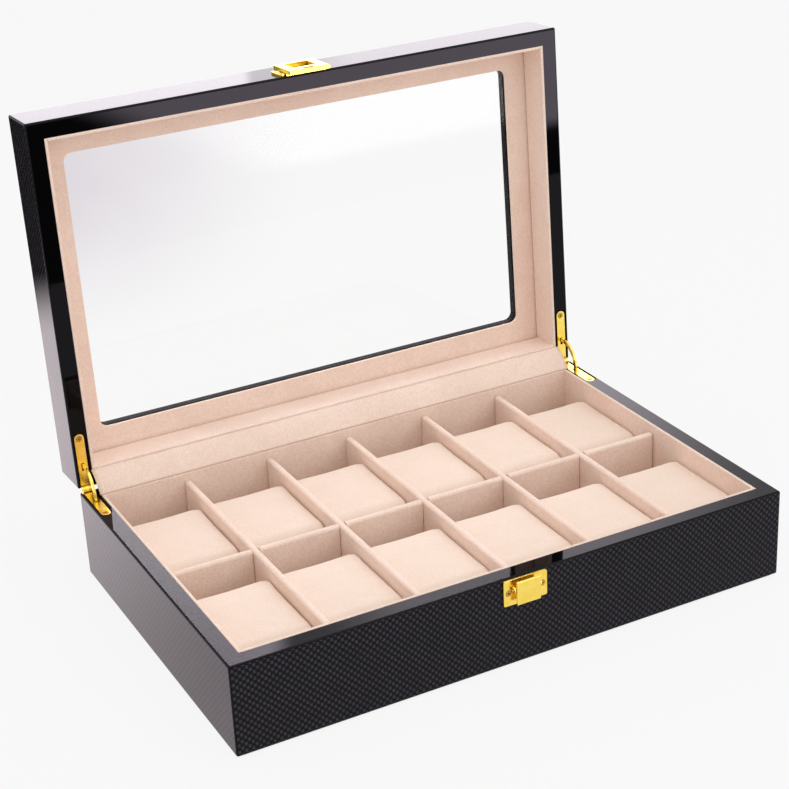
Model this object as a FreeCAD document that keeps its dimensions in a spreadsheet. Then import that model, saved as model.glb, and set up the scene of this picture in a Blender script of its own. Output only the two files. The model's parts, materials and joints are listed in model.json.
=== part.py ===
import FreeCAD, Part
import math
import os
import re
from types import SimpleNamespace

from FreeCAD import Placement, Rotation, Vector

# Watch box with a glazed, hinged lid, shown with the lid open against its stays.
# Millimetres. The origin is the centre of the underside, +X right, +Y back, +Z up.
# Lid pieces are drawn closed, about the hinge axis, and then swung open.

DIMENSIONS = {
    # Outside of the box
    "box_width": 330.0,
    "box_depth": 212.0,
    "base_height": 53.0,
    "lid_height": 29.4,
    "rim_gap": 1.1,
    "open_angle": 93.3,
    # Lacquered boards
    "wall": 9.5,
    "edge_round": 1.2,
    "bottom_thickness": 4.0,
    "felt_thickness": 1.0,
    "felt_inset": 2.0,
    "top_thickness": 5.0,
    # Velvet-covered lining boards
    "liner_thickness": 1.8,
    "liner_proud": 0.3,
    "liner_round": 0.6,
    "floor_thickness": 1.5,
    "panel_thickness": 1.8,
    "panel_gap": 0.8,
    "divider_thickness": 4.0,
    "divider_drop": 4.5,
    "divider_round": 1.6,
    "divider_end_gap": 0.8,
    "divider_slot_gap": 0.4,
    "lining_play": 0.2,
    # Window in the lid
    "frame_side": 24.5,
    "frame_end": 24.7,
    "window_corner": 5.0,
    "glass_thickness": 2.0,
    "glass_overlap": 8.0,
    "glass_corner": 1.5,
    # Watch pillows
    "pillow_length": 70.0,
    "pillow_height": 34.2,
    "pillow_crown": 1.4,
    "pillow_end_crown": 0.2,
    "pillow_draw": 0.4,
    "pillow_edge": 1.6,
    "pillow_corner": 4.5,
    "pillow_foot": 2.0,
    "pillow_play": 0.4,
    "pillow_floor_play": 0.3,
    "back_row_start": 1.2,
    "front_row_start": 4.4,
    # Hinges with a quadrant stay
    "axis_back": 0.7,
    "leaf_width": 5.6,
    "leaf_length": 33.5,
    "leaf_thickness": 1.2,
    "leaf_recess": 0.5,
    "groove_margin": 0.9,
    "knuckle_width": 2.0,
    "knuckle_play": 0.15,
    "hinge_pin_radius": 0.8,
    "hinge_pin_head": 0.3,
    "pin_play": 0.04,
    "stay_radius": 14.4,
    "stay_width": 2.4,
    "stay_thickness": 1.2,
    "stay_play": 0.25,
    "stay_slot_extra": 2.0,
    "stay_head_width": 2.6,
    "stay_head_length": 0.9,
    "stay_stop_gap": 0.1,
    "mortise_play": 0.5,
    # Countersunk screws
    "screw_head_radius": 1.7,
    "screw_head_height": 0.9,
    "screw_radius": 0.8,
    "screw_length": 7.0,
    "screw_slot": 0.45,
    "screw_slot_depth": 0.5,
    "screw_play": 0.05,
    "sink_margin": 0.25,
    "hinge_screw_inset": 3.0,
    # Push catch on the front
    "plate_width": 26.0,
    "plate_height": 14.7,
    "plate_thickness": 1.2,
    "plate_drop": 0.9,
    "plate_corner": 1.0,
    "plate_screw_inset": 3.0,
    "button_width": 14.2,
    "button_height": 13.4,
    "button_thickness": 1.0,
    "button_drop": 1.1,
    "button_round": 0.4,
    "cheek_thickness": 0.9,
    "cheek_radius": 1.0,
    "rocker_pin_radius": 0.5,
    "rocker_pin_head": 0.6,
    "ear_thickness": 0.9,
    "ear_radius": 1.7,
    "ear_play": 0.2,
    "hook_width": 5.0,
    "hook_reach": 0.9,
    "hook_height": 1.7,
    "hook_nose": 0.7,
    "hook_drop": 1.1,
    # Torsion spring round the catch pin
    "spring_wire": 0.25,
    "spring_play": 0.05,
    "spring_pitch": 1.0,
    "spring_leg": 4.5,
    "spring_start": 0.4,
    # Hasp on the lid
    "hasp_width": 24.6,
    "hasp_length": 17.5,
    "hasp_stand": 3.7,
    "tongue_back_play": 0.3,
    "tongue_bar": 0.8,
    "tongue_front_play": 0.3,
    "tongue_ear_play": 0.6,
    "hasp_round": 0.5,
    "hasp_window_width": 14.0,
    "hasp_window_height": 12.0,
    "flange_ear": 3.9,
    "flange_height": 12.0,
    "flange_rise": 2.2,
    "flange_thickness": 1.2,
    "flange_corner": 2.0,
    "hook_slot_play": 0.6,
    "dome_margin": 0.18,
    "dome_latitude": 45.0,
    # Velvet strip behind the hinge line
    "flap_thickness": 0.6,
    "flap_bulge": 0.9,
    "flap_play": 0.3,
    "flap_rim_play": 0.15,
}
COLUMNS = 6
PILLOW_CORNER_ANGLES = (0, 30, 60, 90)
QUARTERS = 4
SPRING_QUARTERS = 3 * QUARTERS + 2
SPRING_SAMPLES = 400
SCREW_CROSS_SHARE = 0.62
PIN_TIP_SHARE = 0.4
ROUND_SHARE = 0.45
SIDES = {"left": -1, "right": 1}
# How far a cutting tool runs past the face that it opens
PAST = "1"
# How far an arc's middle lies inside the corner that it rounds, as a share of its radius
ARC_INSET = 1 - math.sqrt(0.5)
TOLERANCE = 1e-6

doc = FreeCAD.newDocument("watch_box")
sheet = doc.addObject("Spreadsheet::Sheet", "dims")
for row, (alias, number) in enumerate(DIMENSIONS.items(), start=1):
    sheet.set("A%d" % row, alias)
    sheet.set("B%d" % row, str(number))
    sheet.setAlias("B%d" % row, alias)
doc.recompute()
size = SimpleNamespace(**{alias: float(sheet.get(alias)) for alias in DIMENSIONS})

# Places shared by many pieces, as formulas of the sheet
HINGE_X = "(box_width / 2 - wall / 2)"
AXIS_Y = "(box_depth / 2 + axis_back)"
AXIS_Z = "(base_height + rim_gap / 2)"
LID_CENTRE_Y = "(-box_depth / 2 - axis_back)"
LID_FRONT_Y = "(-box_depth - axis_back)"
LID_RIM = "(rim_gap / 2)"
FRONT_Y = "(-box_depth / 2)"
INNER_X = "(box_width / 2 - wall)"
INNER_Y = "(box_depth / 2 - wall)"
LINED_X = "(box_width / 2 - wall - liner_thickness)"
LINED_Y = "(box_depth / 2 - wall - liner_thickness)"
FLOOR_LOW = "(felt_thickness + bottom_thickness)"
FLOOR = "(felt_thickness + bottom_thickness + floor_thickness)"
DIVIDER_TOP = "(base_height - divider_drop)"
WINDOW_X = "(box_width / 2 - frame_side)"
WINDOW_Y = "(box_depth / 2 - frame_end)"
LID_LINER_TOP = "(rim_gap / 2 + lid_height - top_thickness - glass_thickness - panel_thickness)"
LEAF_FACE = "(-rim_gap / 2 - leaf_recess)"
LEAF_BACK = "(-rim_gap / 2 - leaf_recess - leaf_thickness)"
FLAP_X = "(%s - leaf_width / 2 - groove_margin - flap_play)" % HINGE_X
BARREL_RADIUS = "(hinge_pin_radius + leaf_thickness)"
BAY_WIDTH = "((2 * %s - %d * divider_thickness) / %d)" % (LINED_X, COLUMNS - 1, COLUMNS)
BUTTON_STAND = "(hasp_stand + tongue_front_play)"
TONGUE_DROP = "(hook_drop + hook_height + hook_slot_play / 2 + tongue_bar)"
ROCKER_PIN_STAND = "((plate_thickness + %s) / 2)" % BUTTON_STAND
ROCKER_PIN_Y = "(-box_depth / 2 - %s)" % ROCKER_PIN_STAND
ROCKER_PIN_Z = "(base_height - %s - tongue_ear_play - ear_radius)" % TONGUE_DROP
SPRING_RADIUS = "((%s - plate_thickness) / 2 - spring_wire - spring_play)" % BUTTON_STAND

ALONG_X = Rotation(Vector(0, 1, 0), 90)
FACING_FRONT = Rotation(Vector(1, 0, 0), 90)
TURNED_OVER = Rotation(Vector(0, 1, 0), 180)
# Takes z to x, x to y and y to z
AXES_ROUND = Rotation(Vector(1, 1, 1), 120)

subparts = []


def formula(text):
    """The formula with each dimension's name turned into its cell of the sheet."""
    def cell(word):
        name = word.group()
        return "dims." + name if name in DIMENSIONS else name
    return re.sub(r"[a-z]\w+", cell, text)


def value(text):
    """What a formula of the sheet comes to."""
    return float(sheet.evalExpression(formula(text)))


def limited(radius, thickness):
    """A rounding radius that the board's thickness has room for."""
    return min(radius, ROUND_SHARE * thickness)


def bind(piece, **formulas):
    """Ties properties of a piece to formulas of the sheet."""
    for name, text in formulas.items():
        piece.setExpression(name, formula(text))


def put(piece, place, turn=None):
    """Sets a piece's place by formulas, after turning it."""
    if turn is not None:
        piece.Placement = Placement(Vector(), turn)
    for axis, text in zip("xyz", place):
        piece.setExpression("Placement.Base." + axis, formula(text))


def box(name, low, high):
    """A block between two corners."""
    block = doc.addObject("Part::Box", name)
    spans = ["(%s) - (%s)" % (end, start) for start, end in zip(low, high)]
    bind(block, Length=spans[0], Width=spans[1], Height=spans[2])
    put(block, low)
    return block


def rod(name, radius, length, place, turn=None):
    """A round bar that starts at a place and runs along its own axis."""
    bar = doc.addObject("Part::Cylinder", name)
    bind(bar, Radius=radius, Height=length)
    put(bar, place, turn)
    return bar


def fuse(name, *pieces):
    joined = doc.addObject("Part::MultiFuse", name)
    joined.Shapes = list(pieces)
    joined.Refine = True
    return joined


def cut(name, piece, *tools):
    result = doc.addObject("Part::Cut", name)
    result.Base = piece
    result.Tool = tools[0] if len(tools) == 1 else fuse(name + "_tools", *tools)
    result.Refine = True
    return result


def common(name, first, second):
    shared = doc.addObject("Part::Common", name)
    shared.Base = first
    shared.Tool = second
    shared.Refine = True
    return shared


def group(name, *pieces):
    together = doc.addObject("Part::Compound", name)
    together.Links = list(pieces)
    return together


def rounded(name, piece, radius, wanted):
    """The piece with the wanted straight edges rounded."""
    doc.recompute()
    result = doc.addObject("Part::Fillet", name)
    result.Base = piece
    edges = enumerate(piece.Shape.Edges, start=1)
    result.Edges = [(number, radius, radius) for number, edge in edges if wanted(edge)]
    return result


def runs_along(edge, axis):
    """Whether a straight edge lies along one of the axes x, y and z."""
    if not isinstance(edge.Curve, Part.Line):
        return False
    return abs(abs(getattr(edge.tangentAt(edge.FirstParameter), axis)) - 1) < TOLERANCE


def keep(piece, node, pose=None):
    """Names a finished sub-part, and swings or moves it to its place."""
    piece.Label = node
    if pose is not None:
        piece.Placement = pose
    subparts.append(piece)


hinge_x = value(HINGE_X)
axis_y = value(AXIS_Y)
axis_z = value(AXIS_Z)
LID_OPEN = Placement(Vector(0, axis_y, axis_z), Rotation(Vector(1, 0, 0), -size.open_angle))


# Lacquered boards

def mitred_board(name, block, span, reach, low, high, turn, centre_y):
    """One wall, cut out of the rounded outer block between two mitres."""
    mitre = doc.addObject("Part::Wedge", name + "_mitre")
    bind(mitre, Xmin="-%s / 2 + wall" % span, Xmax="%s / 2 - wall" % span)
    bind(mitre, X2min="-%s / 2" % span, X2max="%s / 2" % span)
    bind(mitre, Ymin="%s / 2 - wall" % reach, Ymax="%s / 2" % reach)
    bind(mitre, Zmin=low, Zmax=high, Z2min=low, Z2max=high)
    put(mitre, ("0", centre_y, "0"), Rotation(Vector(0, 0, 1), turn))
    return common(name, block, mitre)


def walls(prefix, block, low, high, centre_y):
    """The four walls of the base or of the lid."""
    sides = {
        "back": ("box_width", "box_depth", 0),
        "left": ("box_depth", "box_width", 90),
        "front": ("box_width", "box_depth", 180),
        "right": ("box_depth", "box_width", -90),
    }
    boards = {}
    for side, (span, reach, turn) in sides.items():
        name = "%s_%s_board" % (prefix, side)
        boards[side] = mitred_board(name, block, span, reach, low, high, turn, centre_y)
    return boards


def hinge_pocket(name):
    """Groove for a leaf, mortise for the stay and pilot hole, drawn about the hinge axis."""
    half = "(leaf_width / 2 + groove_margin)"
    end = "(-leaf_length + leaf_width / 2)"
    groove = box(name + "_groove", ("-" + half, end, LEAF_BACK), (half, PAST, "0"))
    nose = rod(name + "_nose", half, "-" + LEAF_BACK, ("0", end, LEAF_BACK))
    side = "(stay_head_width / 2 + mortise_play)"
    outer = "(stay_radius + stay_width / 2 + mortise_play)"
    inner = "(%g - mortise_play)" % stay_inmost
    mortise = box(
        name + "_mortise",
        ("-" + side, "-" + outer, "%g - mortise_play" % stay_lowest),
        (side, "-" + inner, LEAF_FACE))
    pilot = rod(
        name + "_pilot", "screw_radius + screw_play", "screw_length",
        ("0", "-leaf_length + hinge_screw_inset", LEAF_FACE + " - screw_length - screw_play"))
    return fuse(name, groove, nose, mortise, pilot)


def front_hole(name, x, y, z, depth):
    """Pilot hole for a screw that goes into a front face."""
    return rod(name, "screw_radius + screw_play", depth, (x, y + " + %s" % depth, z), FACING_FRONT)


# Reach of the stays: their heads stop under the leaves when the lid is open
leaf_depth = -value(LEAF_BACK)
stay_inside = size.stay_radius - size.stay_width / 2
stay_outside = size.stay_radius + size.stay_width / 2
stay_head_start = math.degrees(math.asin((leaf_depth + size.stay_stop_gap) / stay_inside))
stay_head_angle = math.degrees(size.stay_head_length / size.stay_radius)
stay_reach = stay_head_start + stay_head_angle
stay_closed = math.radians(stay_reach + size.open_angle / 2)
stay_inmost = stay_inside * math.cos(stay_closed)
stay_lowest = -stay_outside * math.sin(stay_closed)

base_block = rounded(
    "base_rounded",
    box(
        "base_block", ("-box_width / 2", FRONT_Y, "felt_thickness"),
        ("box_width / 2", "box_depth / 2", "base_height")),
    size.edge_round, lambda edge: True)
base_boards = walls("base", base_block, "felt_thickness", "base_height", "0")
base_pockets = {}
for side, sign in SIDES.items():
    base_pockets[side] = hinge_pocket("base_pocket_" + side)
    base_pockets[side].Placement = Placement(Vector(sign * hinge_x, axis_y, axis_z), Rotation())
    keep(cut("base_%s_wall" % side, base_boards[side], base_pockets[side]), "base_%s_wall" % side)
keep(cut("base_back_wall", base_boards["back"], *base_pockets.values()), "base_back_wall")
PLATE_TOP = "(base_height - plate_drop)"
PLATE_SCREW_X = "(plate_width / 2 - plate_screw_inset)"
PLATE_SCREW_Z = "(%s - plate_height / 2)" % PLATE_TOP
catch_holes = []
for side, sign in SIDES.items():
    screw_x = "%d * %s" % (sign, PLATE_SCREW_X)
    catch_holes.append(front_hole("catch_hole_" + side, screw_x, FRONT_Y, PLATE_SCREW_Z, "screw_length"))
keep(cut("base_front_wall", base_boards["front"], *catch_holes), "base_front_wall")

keep(box(
    "base_bottom_panel", ("-" + INNER_X, "-" + INNER_Y, "felt_thickness"), (INNER_X, INNER_Y, FLOOR_LOW)),
    "base_bottom_panel")
felt_x = "(box_width / 2 - felt_inset)"
felt_y = "(box_depth / 2 - felt_inset)"
felt_block = box("felt_block", ("-" + felt_x, "-" + felt_y, "0"), (felt_x, felt_y, "felt_thickness"))
keep(rounded(
    "underside_felt", felt_block, size.felt_inset, lambda edge: runs_along(edge, "z")),
    "underside_felt")

# Velvet lining of the base

def liners(prefix, low, high, centre_y, pose=None):
    """Four lining boards with their long edges rounded over."""
    spans = {
        "left": (("-" + INNER_X, "-" + INNER_Y), ("-" + LINED_X, INNER_Y)),
        "right": ((LINED_X, "-" + INNER_Y), (INNER_X, INNER_Y)),
        "front": (("-" + LINED_X, "-" + INNER_Y), (LINED_X, "-" + LINED_Y)),
        "back": (("-" + LINED_X, LINED_Y), (LINED_X, INNER_Y)),
    }
    for side, (start, end) in spans.items():
        name = "%s_liner_%s" % (prefix, side)
        board = box(
            name + "_board",
            (start[0], start[1] + " + " + centre_y, low),
            (end[0], end[1] + " + " + centre_y, high))
        along = "y" if side in SIDES else "x"
        wrap = limited(size.liner_round, size.liner_thickness)
        keep(rounded(name, board, wrap, lambda edge: runs_along(edge, along)), name, pose)


BASE_LINER_TOP = "(base_height + liner_proud)"
liners("base", FLOOR_LOW, BASE_LINER_TOP, "0")
keep(box(
    "base_liner_floor", ("-" + LINED_X, "-" + LINED_Y, FLOOR_LOW), (LINED_X, LINED_Y, FLOOR)),
    "base_liner_floor")

# Dividers: the cross dividers run over the row divider, each halved into the other
half_divider = "(divider_thickness / 2)"
half_slot = "(divider_thickness / 2 + divider_slot_gap)"
lap = "((%s + %s) / 2)" % (FLOOR, DIVIDER_TOP)
divider_top = value(DIVIDER_TOP)


def divider_x(number):
    """Middle of a cross divider, counted from the left."""
    step = "(%s + divider_thickness)" % BAY_WIDTH
    return "(-%s + %d * %s - divider_thickness / 2)" % (LINED_X, number, step)


def divider_board(name, low, high, along):
    """A velvet-covered board with its top edges rounded over."""
    board = box(name, low, high)

    def top_edge(edge):
        return runs_along(edge, along) and abs(edge.CenterOfMass.z - divider_top) < TOLERANCE
    return rounded(name + "_rounded", board, limited(size.divider_round, size.divider_thickness), top_edge)


row_board = divider_board(
    "row_board",
    ("-%s + divider_end_gap" % LINED_X, "-" + half_divider, FLOOR),
    ("%s - divider_end_gap" % LINED_X, half_divider, DIVIDER_TOP), "x")
row_slots = []
for number in range(1, COLUMNS):
    middle = divider_x(number)
    row_slots.append(box(
        "row_slot_%d" % number,
        ("%s - %s" % (middle, half_slot), "-%s - %s" % (half_divider, PAST), lap),
        ("%s + %s" % (middle, half_slot), half_divider + " + " + PAST, DIVIDER_TOP + " + " + PAST)))
    board = divider_board(
        "cross_board_%d" % number,
        ("%s - %s" % (middle, half_divider), "-%s + divider_end_gap" % LINED_Y, FLOOR),
        ("%s + %s" % (middle, half_divider), "%s - divider_end_gap" % LINED_Y, DIVIDER_TOP), "y")
    slot = box(
        "cross_slot_%d" % number,
        ("%s - %s - %s" % (middle, half_divider, PAST), "-" + half_slot, FLOOR + " - " + PAST),
        ("%s + %s + %s" % (middle, half_divider, PAST), half_slot, lap))
    keep(cut("cross_divider_%d" % number, board, slot), "cross_divider_%d" % number)
keep(cut("row_divider", row_board, *row_slots), "row_divider")


# Watch pillows: crowned, drawn in at the sides, with rounded edges and upright corners

def arc_through(first, middle, last):
    return Part.Arc(first, middle, last).toShape()


def pillow_section(y, half_width, top, crown):
    """Outline across a pillow: flat foot, upright sides, rounded shoulders and a crowned top."""
    foot = size.pillow_foot
    shoulder = size.pillow_edge
    foot_inset = foot * ARC_INSET
    shoulder_inset = shoulder * ARC_INSET

    def point(x, z):
        return Vector(x, y, z)
    left, right = -half_width, half_width
    return Part.Wire([
        Part.LineSegment(point(left + foot, 0), point(right - foot, 0)).toShape(),
        arc_through(point(right - foot, 0), point(right - foot_inset, foot_inset), point(right, foot)),
        Part.LineSegment(point(right, foot), point(right, top - shoulder)).toShape(),
        arc_through(
            point(right, top - shoulder), point(right - shoulder_inset, top - shoulder_inset),
            point(right - shoulder, top)),
        arc_through(point(right - shoulder, top), point(0, top + crown), point(left + shoulder, top)),
        arc_through(
            point(left + shoulder, top), point(left + shoulder_inset, top - shoulder_inset),
            point(left, top - shoulder)),
        Part.LineSegment(point(left, top - shoulder), point(left, foot)).toShape(),
        arc_through(point(left, foot), point(left + foot_inset, foot_inset), point(left + foot, 0)),
    ])


def set_in(distance, radius):
    """How far a rounded corner stands in from the square one, at a distance from its end."""
    reach = max(radius - distance, 0)
    return radius - math.sqrt(radius * radius - reach * reach)


def pillow_shape():
    """Loft of the outline along the pillow, front end at y = 0."""
    length = size.pillow_length
    width = bay_width - 2 * size.pillow_play
    near = [size.pillow_corner * (1 - math.cos(math.radians(degrees))) for degrees in PILLOW_CORNER_ANGLES]
    far = [length - y for y in reversed(near)]
    sections = []
    for y in near + [length / 2] + far:
        from_end = min(y, length - y)
        swell = math.sin(math.pi * y / length)
        half_width = width / 2 - set_in(from_end, size.pillow_corner) - size.pillow_draw * swell
        top = size.pillow_height - set_in(from_end, size.pillow_edge)
        crown = size.pillow_end_crown + size.pillow_crown * swell
        sections.append(pillow_section(y, half_width, top, crown))
    return Part.makeLoft(sections, True, True)


bay_width = value(BAY_WIDTH)
pillow = pillow_shape()
pillow_z = value(FLOOR + " + pillow_floor_play")
row_starts = {
    "back": value(half_divider + " + back_row_start"),
    "front": value("-" + LINED_Y + " + front_row_start"),
}
for row, pillow_y in row_starts.items():
    for number in range(1, COLUMNS + 1):
        cushion = doc.addObject("Part::Feature", "pillow_%s_%d" % (row, number))
        cushion.Shape = pillow
        pillow_x = value(divider_x(number)) - (bay_width + size.divider_thickness) / 2
        keep(cushion, cushion.Name, Placement(Vector(pillow_x, pillow_y, pillow_z), Rotation()))

# Lid boards, drawn closed with the hinge axis as origin
lid_block = rounded(
    "lid_rounded",
    box(
        "lid_block", ("-box_width / 2", LID_FRONT_Y, LID_RIM),
        ("box_width / 2", "-axis_back", LID_RIM + " + lid_height")),
    size.edge_round, lambda edge: True)
LID_WALL_TOP = LID_RIM + " + lid_height - top_thickness"
lid_boards = walls("lid", lid_block, LID_RIM, LID_WALL_TOP, LID_CENTRE_Y)
lid_pockets = {}
for side, sign in SIDES.items():
    lid_pockets[side] = hinge_pocket("lid_pocket_" + side)
    lid_pockets[side].Placement = Placement(Vector(sign * hinge_x, 0, 0), TURNED_OVER)
    keep(cut("lid_%s_wall" % side, lid_boards[side], lid_pockets[side]), "lid_%s_wall" % side, LID_OPEN)
keep(cut("lid_back_wall", lid_boards["back"], *lid_pockets.values()), "lid_back_wall", LID_OPEN)
HASP_SCREW_X = "(hasp_width / 2 + flange_ear / 2)"
HASP_SCREW_Z = "(%s + flange_rise + flange_height / 2)" % LID_RIM
hasp_screw_places = {"left": -1, "middle": 0, "right": 1}
hasp_holes = []
for where, sign in hasp_screw_places.items():
    screw_x = "%d * %s" % (sign, HASP_SCREW_X)
    hasp_holes.append(front_hole("hasp_hole_" + where, screw_x, LID_FRONT_Y, HASP_SCREW_Z, "screw_length"))
keep(cut("lid_front_wall", lid_boards["front"], *hasp_holes), "lid_front_wall", LID_OPEN)


def window_opening(name, low, high):
    """The window's block with rounded corners, to be cut out of a board."""
    block = box(
        name + "_block",
        ("-" + WINDOW_X, LID_CENTRE_Y + " - " + WINDOW_Y, low),
        (WINDOW_X, LID_CENTRE_Y + " + " + WINDOW_Y, high))
    return rounded(name, block, size.window_corner, lambda edge: runs_along(edge, "z"))


slab = box(
    "lid_top_slab", ("-box_width / 2", LID_FRONT_Y, LID_WALL_TOP),
    ("box_width / 2", "-axis_back", LID_RIM + " + lid_height"))
top_board = common("lid_top_board", lid_block, slab)
LID_TOP = LID_RIM + " + lid_height"
top_window = window_opening("top_window", LID_WALL_TOP + " - " + PAST, LID_TOP + " + " + PAST)
keep(cut("lid_top_frame", top_board, top_window), "lid_top_frame", LID_OPEN)

glass_x = "(%s + glass_overlap)" % WINDOW_X
glass_y = "(%s + glass_overlap)" % WINDOW_Y
glass_block = box(
    "glass_block",
    ("-" + glass_x, LID_CENTRE_Y + " - " + glass_y, LID_WALL_TOP + " - glass_thickness"),
    (glass_x, LID_CENTRE_Y + " + " + glass_y, LID_WALL_TOP))
keep(rounded(
    "window_glass", glass_block, size.glass_corner, lambda edge: runs_along(edge, "z")),
    "window_glass", LID_OPEN)

# Velvet lining of the lid: a framed panel under the glass and four wall boards
panel_x = "(%s - lining_play)" % INNER_X
panel_y = "(%s - lining_play)" % INNER_Y
panel_top = LID_LINER_TOP + " + panel_thickness"
panel_board = box(
    "panel_board", ("-" + panel_x, LID_CENTRE_Y + " - " + panel_y, LID_LINER_TOP),
    (panel_x, LID_CENTRE_Y + " + " + panel_y, panel_top))
panel_window = window_opening("panel_window", LID_LINER_TOP + " - " + PAST, panel_top + " + " + PAST)
keep(cut("window_panel", panel_board, panel_window), "window_panel", LID_OPEN)
LID_LINER_LOW = LID_RIM + " - liner_proud"
liners("lid", LID_LINER_LOW, LID_LINER_TOP + " - panel_gap", LID_CENTRE_Y, LID_OPEN)


# Hinges: two leaves on a pin, drawn about the axis with the leaf towards the front

def screw(name, pose):
    """Countersunk screw with a cross recess, its head's face at the origin, facing +Z."""
    head = doc.addObject("Part::Cone", name + "_head")
    bind(head, Radius1="screw_radius", Radius2="screw_head_radius", Height="screw_head_height")
    put(head, ("0", "0", "-screw_head_height"))
    shank = rod(name + "_shank", "screw_radius", "screw_length", ("0", "0", "-screw_length"))
    arm = "(screw_head_radius * %g)" % SCREW_CROSS_SHARE
    slots = []
    for number, (long_x, long_y) in enumerate(((arm, "screw_slot / 2"), ("screw_slot / 2", arm))):
        slots.append(box(
            "%s_slot_%d" % (name, number),
            ("-" + long_x, "-" + long_y, "-screw_slot_depth"), (long_x, long_y, PAST)))
    body = cut(name, fuse(name + "_body", head, shank), *slots)
    body.Placement = pose
    return body


def countersink(name, face_z, y):
    """Hole that a countersunk screw's head sits in."""
    sink = doc.addObject("Part::Cone", name + "_sink")
    bind(
        sink, Radius1="screw_radius + screw_play", Radius2="screw_head_radius + sink_margin",
        Height="screw_head_height")
    put(sink, ("0", y, face_z + " - screw_head_height"))
    through = rod(
        name + "_through", "screw_radius + screw_play", "screw_length",
        ("0", y, face_z + " - screw_length"))
    return fuse(name, sink, through)


def barrel(name, radius, start, end):
    """A round bar along the x axis, such as a stretch of a hinge's barrel."""
    return rod(name, radius, "(%s) - (%s)" % (end, start), (start, "0", "0"), ALONG_X)


def leaf(name, own, other):
    """A hinge leaf with its own knuckles, cleared round the other leaf's."""
    half = "(leaf_width / 2)"
    end = "(-leaf_length + leaf_width / 2)"
    plate = box(name + "_plate", ("-" + half, end, LEAF_BACK), (half, "0", LEAF_FACE))
    nose = rod(name + "_nose", half, "leaf_thickness", ("0", end, LEAF_BACK))
    reliefs = [
        barrel("%s_relief_%d" % (name, number), BARREL_RADIUS + " + knuckle_play", start, finish)
        for number, (start, finish) in enumerate(other)
    ]
    knuckles = [
        barrel("%s_knuckle_%d" % (name, number), BARREL_RADIUS, start, finish)
        for number, (start, finish) in enumerate(own)
    ]
    cleared = cut(name + "_cleared", fuse(name + "_blank", plate, nose), *reliefs)
    slot_side = "(stay_thickness / 2 + stay_play)"
    slot = box(
        name + "_slot",
        ("-" + slot_side, "-stay_radius - stay_width / 2 - stay_play", LEAF_BACK + " - " + PAST),
        (slot_side, "-stay_radius + stay_width / 2 + stay_slot_extra", LEAF_FACE + " + " + PAST))
    bore = barrel(name + "_bore", "hinge_pin_radius + pin_play", "-leaf_width", "leaf_width")
    sink = countersink(name + "_countersink", LEAF_FACE, "-leaf_length + hinge_screw_inset")
    return cut(name, fuse(name + "_joined", cleared, *knuckles), slot, bore, sink)


def ring_piece(name, thickness, start, sweep):
    """A stretch of a flat ring about the hinge axis, from one angle over another."""
    turn = Rotation(Vector(1, 0, 0), start).multiply(AXES_ROUND)
    radii = {"outer": "stay_radius + stay_width / 2", "inner": "stay_radius - stay_width / 2"}
    discs = []
    for edge, radius in radii.items():
        disc = rod("%s_%s" % (name, edge), radius, thickness, ("-%s / 2" % thickness, "0", "0"), turn)
        disc.Angle = sweep
        discs.append(disc)
    return cut(name, *discs)


def stay(name):
    """Quadrant stay: an arm round the hinge axis with a wider head at each end."""
    towards_front = 180
    front = towards_front + stay_reach
    back = towards_front - size.open_angle - stay_reach
    arm = ring_piece(name + "_arm", "stay_thickness", back, front - back)
    back_head = ring_piece(name + "_back_head", "stay_head_width", back, stay_head_angle)
    front_head = ring_piece(name + "_front_head", "stay_head_width", front - stay_head_angle, stay_head_angle)
    return fuse(name, arm, back_head, front_head)


middle_knuckle = [("-knuckle_width / 2", "knuckle_width / 2")]
outer_knuckles = [
    ("-leaf_width / 2", "-knuckle_width / 2 - knuckle_play"),
    ("knuckle_width / 2 + knuckle_play", "leaf_width / 2"),
]
middle_reach = [("-knuckle_width / 2 - knuckle_play", "knuckle_width / 2 + knuckle_play")]
outer_reach = [("-leaf_width", "-knuckle_width / 2"), ("knuckle_width / 2", "leaf_width")]
screw_seat = Vector(0, -size.leaf_length + size.hinge_screw_inset, -size.rim_gap / 2 - size.leaf_recess)
base_screws = []
lid_screws = []
for side, sign in SIDES.items():
    name = "hinge_" + side
    on_base = Placement(Vector(sign * hinge_x, axis_y, axis_z), Rotation())
    on_lid = LID_OPEN.multiply(Placement(Vector(sign * hinge_x, 0, 0), TURNED_OVER))
    keep(leaf(name + "_base_leaf", outer_knuckles, middle_reach), name + "_base_leaf", on_base)
    keep(leaf(name + "_lid_leaf", middle_knuckle, outer_reach), name + "_lid_leaf", on_lid)
    pin_end = "(leaf_width / 2 + hinge_pin_head)"
    bar = barrel(name + "_bar", "hinge_pin_radius", "-" + pin_end, pin_end)
    keep(rounded(
        name + "_pin", bar, size.hinge_pin_head, lambda edge: isinstance(edge.Curve, Part.Circle)),
        name + "_pin", on_base)
    keep(stay(name + "_stay"), name + "_stay", on_base)
    seat = Placement(screw_seat, Rotation())
    base_screws.append(screw(name + "_base_screw", on_base.multiply(seat)))
    lid_screws.append(screw(name + "_lid_screw", on_lid.multiply(seat)))
keep(group("hinge_base_screws", *base_screws), "hinge_base_screws")
keep(group("hinge_lid_screws", *lid_screws), "hinge_lid_screws")


# Push catch: a plate with two ears, and a sprung button that rocks on a pin between them

def front_box(name, x_low, x_high, near, far, z_low, z_high):
    """A block on the base's front, from one distance off the face to another."""
    return box(
        name, (x_low, "%s - (%s)" % (FRONT_Y, far), z_low),
        (x_high, "%s - (%s)" % (FRONT_Y, near), z_high))


def pin_rod(name, radius, start, end):
    """A round bar along the catch's pin."""
    return rod(name, radius, "(%s) - (%s)" % (end, start), (start, ROCKER_PIN_Y, ROCKER_PIN_Z), ALONG_X)


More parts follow.
